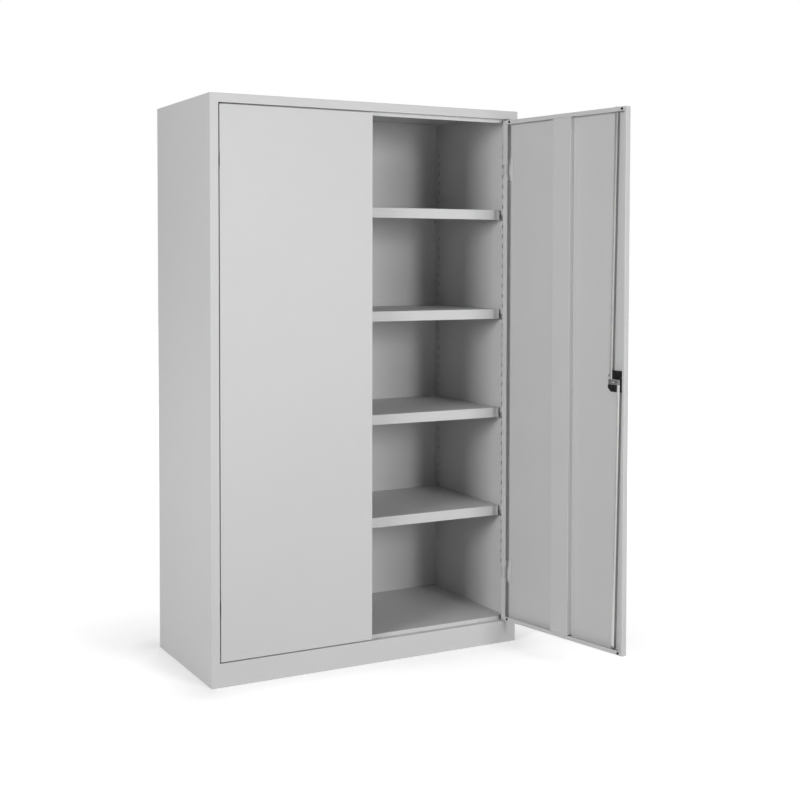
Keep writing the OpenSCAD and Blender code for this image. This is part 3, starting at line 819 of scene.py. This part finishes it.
@dataclass
class CrankHinges:
    """The four crank hinges: painted arms and leaves with rolled edges, and zinc pins."""

    plate_radius: float = 0.4 * MM
    pin_radius: float = 0.6 * MM

    def build(self) -> None:
        """Builds the hinges' pieces over their CAD nodes."""
        for corner in ("left_upper", "left_lower", "right_upper", "right_lower"):
            for kind, name in (("arm", "crank_arm"), ("leaf", "leaf")):
                node, piece = f"hinge_{kind}_{corner}", f"{name}_{corner}"
                SoftenedPart(node, piece, Finish.PAINT, self.plate_radius, 2).build()
        for side in ("left", "right"):
            node, piece = f"hinge_pins_{side}", f"pins_{side}"
            SoftenedPart(node, piece, Finish.ZINC, self.pin_radius).build()


# ------------------------------------------------------------------ studio


@dataclass(frozen=True)
class PhotoCamera:
    """The camera where the photographer stood, worked out from the cabinet's corners."""

    eye: Vector = Vector((-2.0944, -4.1112, 1.4031))
    turn: float = math.radians(26.871)
    tilt: float = math.radians(-2.096)
    focal_pixels: float = 1267.9
    middle_column: float = 336.1
    middle_row: float = 308.0
    picture_pixels: float = 800.0
    sensor: float = 36.0

    def build(self) -> None:
        """Adds the camera and makes it the scene's own."""
        lens = bpy.data.cameras.new("photo_camera")
        lens.sensor_width = self.sensor
        lens.lens = self.focal_pixels * self.sensor / self.picture_pixels
        lens.shift_x = 0.5 - self.middle_column / self.picture_pixels
        lens.shift_y = self.middle_row / self.picture_pixels - 0.5
        camera = bpy.data.objects.new("photo_camera", lens)
        camera.location = self.eye
        camera.rotation_euler = (math.pi / 2 + self.tilt, 0.0, -self.turn)
        bpy.context.scene.collection.objects.link(camera)
        bpy.context.scene.camera = camera
        log.info("camera at %s", tuple(self.eye))


@dataclass(frozen=True)
class SoftBox:
    """A large soft lamp that faces a point on the cabinet."""

    name: str
    place: Vector
    aim: Vector
    width: float
    height: float
    watts: float

    def build(self) -> None:
        """Adds the lamp."""
        lamp = bpy.data.lights.new(self.name, "AREA")
        lamp.shape = "RECTANGLE"
        lamp.size, lamp.size_y = self.width, self.height
        lamp.energy = self.watts
        stand = bpy.data.objects.new(self.name, lamp)
        stand.location = self.place
        stand.rotation_euler = (self.aim - self.place).to_track_quat("-Z", "Y").to_euler()
        bpy.context.scene.collection.objects.link(stand)


@dataclass(frozen=True)
class Studio:
    """White studio: a pale floor that keeps the cabinet's shadow and has a painted shadow round its
    base, white all round, soft boxes.
    """

    floor_size: float = 40.0
    floor_grey: float = 0.80
    footprint: tuple[float, float] = (0.60, 0.26)
    # Floor emission by distance from the footprint: dimmer near the cabinet, a painted contact
    # shadow round its base.
    painted_shadow_glow: Stops = ((0.0, 0.36), (0.12, 0.52), (0.5, 0.66), (2.4, 1.0))
    bounce_grey: float = 0.7
    surround: float = 0.20
    doorway: Vector = Vector((0.5, -0.1, 1.2))

    def build(self) -> None:
        """Builds the floor, the surroundings and the lamps."""
        self._floor()
        self._surroundings()
        for name, place, width, height, watts in (
            ("right_box", (1.7, -6.0, 2.0), 1.7, 1.9, 178.0),
            ("left_box", (-5.65, -2.25, 2.3), 1.9, 1.5, 178.0),
            ("back_box", (2.0, 6.0, 3.4), 3.0, 3.0, 70.0),
        ):
            SoftBox(name, Vector(place), self.doorway, width, height, watts).build()
        bpy.context.scene.view_settings.view_transform = "Standard"

    def _floor(self) -> None:
        """Adds the floor: matt for light, and lifted towards white for camera and reflections, less
        so near the cabinet's footprint, which paints a shadow round its base.
        """
        deselect_all()
        bpy.ops.mesh.primitive_plane_add(size=self.floor_size, location=(0.0, 0.0, 0.0))
        floor = bpy.context.object
        floor.name = "studio_floor"
        maker = FinishMaker("studio_floor")
        grey = (self.floor_grey,) * 3
        matt = maker.node("ShaderNodeBsdfDiffuse", {}, {"Color": (*grey, 1.0)})
        reach = self.painted_shadow_glow[-1][0]
        stops = [(away / reach, level) for away, level in self.painted_shadow_glow]
        # The floor's glow dims near the footprint: painted shadow.
        painted_shadow_glow = maker.ramp(self._away(maker) * (1.0 / reach), stops)
        white = maker.node("ShaderNodeEmission", {}, {"Color": WHITE, "Strength": painted_shadow_glow})
        lifted = maker.node("ShaderNodeAddShader", {}, {0: matt, 1: white})
        bounced = (*(self.bounce_grey,) * 3, 1.0)
        bounce = maker.node("ShaderNodeBsdfDiffuse", {}, {"Color": bounced})
        seen = maker.node("ShaderNodeLightPath", output="Is Camera Ray")
        glossy = maker.node("ShaderNodeLightPath", output="Is Glossy Ray")
        either = maker.node("ShaderNodeMath", {"operation": "MAXIMUM"}, {0: seen, 1: glossy})
        surface = maker.node("ShaderNodeMixShader", {}, {0: either, 1: bounce, 2: lifted})
        output = maker.tree.nodes.new("ShaderNodeOutputMaterial")
        maker.tree.links.new(surface.socket, output.inputs["Surface"])
        floor.data.materials.append(maker.material)

    def _away(self, maker: FinishMaker) -> Signal:
        """Distance over the floor from the cabinet's footprint."""
        split = maker.node("ShaderNodeSeparateXYZ", {}, {"Vector": maker.place})
        total: Signal | float = 0.0
        for axis, half in enumerate(self.footprint):
            place = Signal(maker, split.socket.node.outputs[axis])
            flat = maker.node("ShaderNodeMath", {"operation": "ABSOLUTE"}, {0: place})
            past = maker.node("ShaderNodeMath", {"operation": "MAXIMUM"}, {0: flat - half, 1: 0.0})
            total = past ** 2.0 + total
        return total ** 0.5

    def _surroundings(self) -> None:
        """Sets the world: plain soft light, and white to the camera, also through clear pieces."""
        world = bpy.data.worlds.new("white_studio")
        world.use_nodes = True
        bpy.context.scene.world = world
        tree = world.node_tree
        tree.nodes.clear()
        path = tree.nodes.new("ShaderNodeLightPath")
        either = tree.nodes.new("ShaderNodeMath")
        either.operation = "MAXIMUM"
        tree.links.new(path.outputs["Is Camera Ray"], either.inputs[0])
        tree.links.new(path.outputs["Is Transmission Ray"], either.inputs[1])
        soft, white = (tree.nodes.new("ShaderNodeBackground") for _ in range(2))
        for background, strength in ((soft, self.surround), (white, 1.0)):
            background.inputs["Color"].default_value = WHITE
            background.inputs["Strength"].default_value = strength
        chosen = tree.nodes.new("ShaderNodeMixShader")
        tree.links.new(either.outputs[0], chosen.inputs[0])
        tree.links.new(soft.outputs[0], chosen.inputs[1])
        tree.links.new(white.outputs[0], chosen.inputs[2])
        output = tree.nodes.new("ShaderNodeOutputWorld")
        tree.links.new(chosen.outputs[0], output.inputs["Surface"])


# ------------------------------------------------------------------ everything in order


def main() -> None:
    """Builds the camera, the finishes, the new pieces and the studio."""
    logging.basicConfig(level=logging.INFO, format="%(name)s: %(message)s")
    PhotoCamera().build()
    dress_cad_nodes()
    door = OpenDoor()
    Buffers(door).build()
    CrankHinges().build()
    SoftenedPart("shelf_clips", "bent_shelf_clips", Finish.ZINC, 0.3 * MM, 2).build()
    RodLock(door).build()
    Studio().build()


if __name__ == "__main__":
    main()
